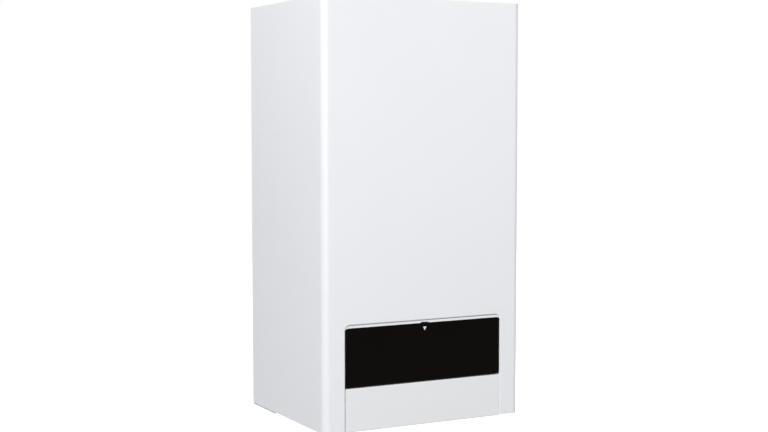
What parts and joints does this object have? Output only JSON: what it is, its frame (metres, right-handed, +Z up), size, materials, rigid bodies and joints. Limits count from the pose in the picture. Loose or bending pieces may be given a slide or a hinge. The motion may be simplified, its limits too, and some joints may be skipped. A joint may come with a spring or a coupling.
{
  "type": "combi boiler",
  "caption": "Wall-hung combi boiler in a white wrapped casing, with a black hinged flap over its controls, a tilting control unit, pipe tails below and a concentric flue collar on top.",
  "frame": {"origin": "on the wall plane, at mid width, on the line of the wall rail's two fixing slots, 762 mm above the casing's bottom edge", "axes": "+Z up, +X to the right seen from the front, +Y towards the wall"},
  "size_m": [0.45, 0.36, 0.906],
  "materials": {
    "casing_white": "smooth white powder coat, semi-gloss",
    "control_white": "white moulded plastic, semi-gloss",
    "flap_black": "polished black plastic",
    "fascia_grey": "fine-grained dark grey plastic",
    "control_grey": "light grey moulded plastic",
    "dial_white": "satin white plastic",
    "key_white": "satin white plastic",
    "reset_orange": "satin orange plastic",
    "switch_black": "black plastic",
    "gauge_case": "white dial in a grey cup",
    "needle_red": "red",
    "clear_window": "clear",
    "board_green": "solder mask green",
    "galvanised": "galvanised sheet",
    "steel": "bright steel",
    "zinc_screw": "zinc plated",
    "gland_black": "black plastic",
    "collar_plastic": "light grey moulded plastic",
    "flue_plastic": "white polypropylene",
    "seal_rubber": "matt",
    "vessel_red": "red enamel",
    "stainless": "brushed stainless steel",
    "cast_alloy": "as cast",
    "ceramic_fibre": "rough white fibre board",
    "electrode_ceramic": "glazed white ceramic",
    "black_plastic": "black moulded plastic",
    "duct_grey": "dark grey plastic",
    "copper": "drawn copper",
    "brass": "machined brass",
    "block_black": "glass-filled black plastic",
    "pump_iron": "painted casting",
    "knob_red": "red plastic",
    "trap_plastic": "translucent white polypropylene",
    "hose_grey": "flexible hose"
  },
  "bodies": {
    "chassis": {"wall_bracket": "galvanised", "back_panel": "galvanised", "side_uprights": "galvanised", "bottom_plate": "galvanised", "top_cover": "galvanised", "tilt_pins": "steel", "cable_glands": "gland_black", "chassis_screws": "zinc_screw", "flue_collar": "collar_plastic", "flue_seals": "seal_rubber", "exhaust_riser": "flue_plastic", "expansion_vessel": "vessel_red", "cell_bracket": "galvanised", "heat_cell_shell": "stainless", "heat_cell_coil": "stainless", "burner_door": "cast_alloy", "door_insulation": "ceramic_fibre", "burner_tube": "stainless", "ignition_electrodes": "electrode_ceramic", "ignition_unit": "black_plastic", "fan_housing": "cast_alloy", "fan_motor": "black_plastic", "gas_air_mixer": "cast_alloy", "air_intake_duct": "duct_grey", "gas_valve": "cast_alloy", "gas_pipes": "copper", "water_pipes": "copper", "union_nuts": "brass", "pipe_grommets": "seal_rubber", "flow_block": "block_black", "return_block": "block_black", "plate_heat_exchanger": "stainless", "pump_housing": "pump_iron", "pump_motor": "pump_iron", "diverter_motor": "black_plastic", "safety_valve": "brass", "air_vent": "brass", "siphon_trap": "trap_plastic", "condensate_hose": "hose_grey"},
    "casing": {"front_casing": "casing_white", "casing_screws": "zinc_screw"},
    "control_unit": {"control_front": "control_white", "hinge_pins": "steel", "flap_catch": "black_plastic", "control_fascia": "fascia_grey", "switch_frame": "switch_black", "gauge_body": "gauge_case", "control_windows": "clear_window", "control_board": "board_green", "control_housing": "control_grey"},
    "flap": {"control_flap": "flap_black"},
    "heating_dial": {"heating_dial": "dial_white"},
    "hot_water_dial": {"hot_water_dial": "dial_white"},
    "info_button": {"info_button": "key_white"},
    "reset_button": {"reset_button": "reset_orange"},
    "power_switch": {"power_switch": "switch_black"},
    "gauge_needle": {"gauge_needle": "needle_red"},
    "fan_wheel": {"fan_impeller": "cast_alloy"},
    "pump_wheel": {"pump_impeller": "stainless"},
    "safety_valve_knob": {"safety_valve_knob": "knob_red"}
  },
  "joints": [
    {"name": "casing_pull", "type": "slide", "parent": "chassis", "child": "casing", "axis": [0, -1, 0], "range_m": [0, 0.4]},
    {"name": "control_tilt", "type": "hinge", "parent": "chassis", "child": "control_unit", "pos_m": [0, -0.35, -0.754], "axis": [1, 0, 0], "range_deg": [0, 90]},
    {"name": "flap_hinge", "type": "hinge", "parent": "control_unit", "child": "flap", "pos_m": [0, -0.356, -0.6715], "axis": [1, 0, 0], "range_deg": [0, 95]},
    {"name": "heating_turn", "type": "hinge", "parent": "control_unit", "child": "heating_dial", "pos_m": [-0.084, -0.3405, -0.616], "axis": [0, 1, 0], "range_deg": [-135, 135]},
    {"name": "hot_water_turn", "type": "hinge", "parent": "control_unit", "child": "hot_water_dial", "pos_m": [-0.032, -0.3405, -0.616], "axis": [0, 1, 0], "range_deg": [-135, 135]},
    {"name": "info_press", "type": "slide", "parent": "control_unit", "child": "info_button", "axis": [0, 1, 0], "range_m": [0, 0.0012], "stiffness_N_per_m": 400, "springref_m": -0.0005},
    {"name": "reset_press", "type": "slide", "parent": "control_unit", "child": "reset_button", "axis": [0, 1, 0], "range_m": [0, 0.0012], "stiffness_N_per_m": 400, "springref_m": -0.0005},
    {"name": "power_rock", "type": "hinge", "parent": "control_unit", "child": "power_switch", "pos_m": [0.136, -0.338, -0.616], "axis": [1, 0, 0], "range_deg": [0, 16]},
    {"name": "needle_turn", "type": "hinge", "parent": "control_unit", "child": "gauge_needle", "pos_m": [-0.136, -0.3405, -0.616], "axis": [0, 1, 0], "range_deg": [0, 270]},
    {"name": "fan_spin", "type": "hinge", "parent": "chassis", "child": "fan_wheel", "pos_m": [0.152, -0.32, -0.202], "axis": [0, 1, 0], "continuous": true},
    {"name": "pump_spin", "type": "hinge", "parent": "chassis", "child": "pump_wheel", "pos_m": [0.02, -0.15, -0.57], "axis": [0, 1, 0], "continuous": true},
    {"name": "safety_valve_turn", "type": "hinge", "parent": "chassis", "child": "safety_valve_knob", "pos_m": [0.14, -0.19, -0.677], "axis": [0, 1, 0], "range_deg": [0, 90]}
  ]
}
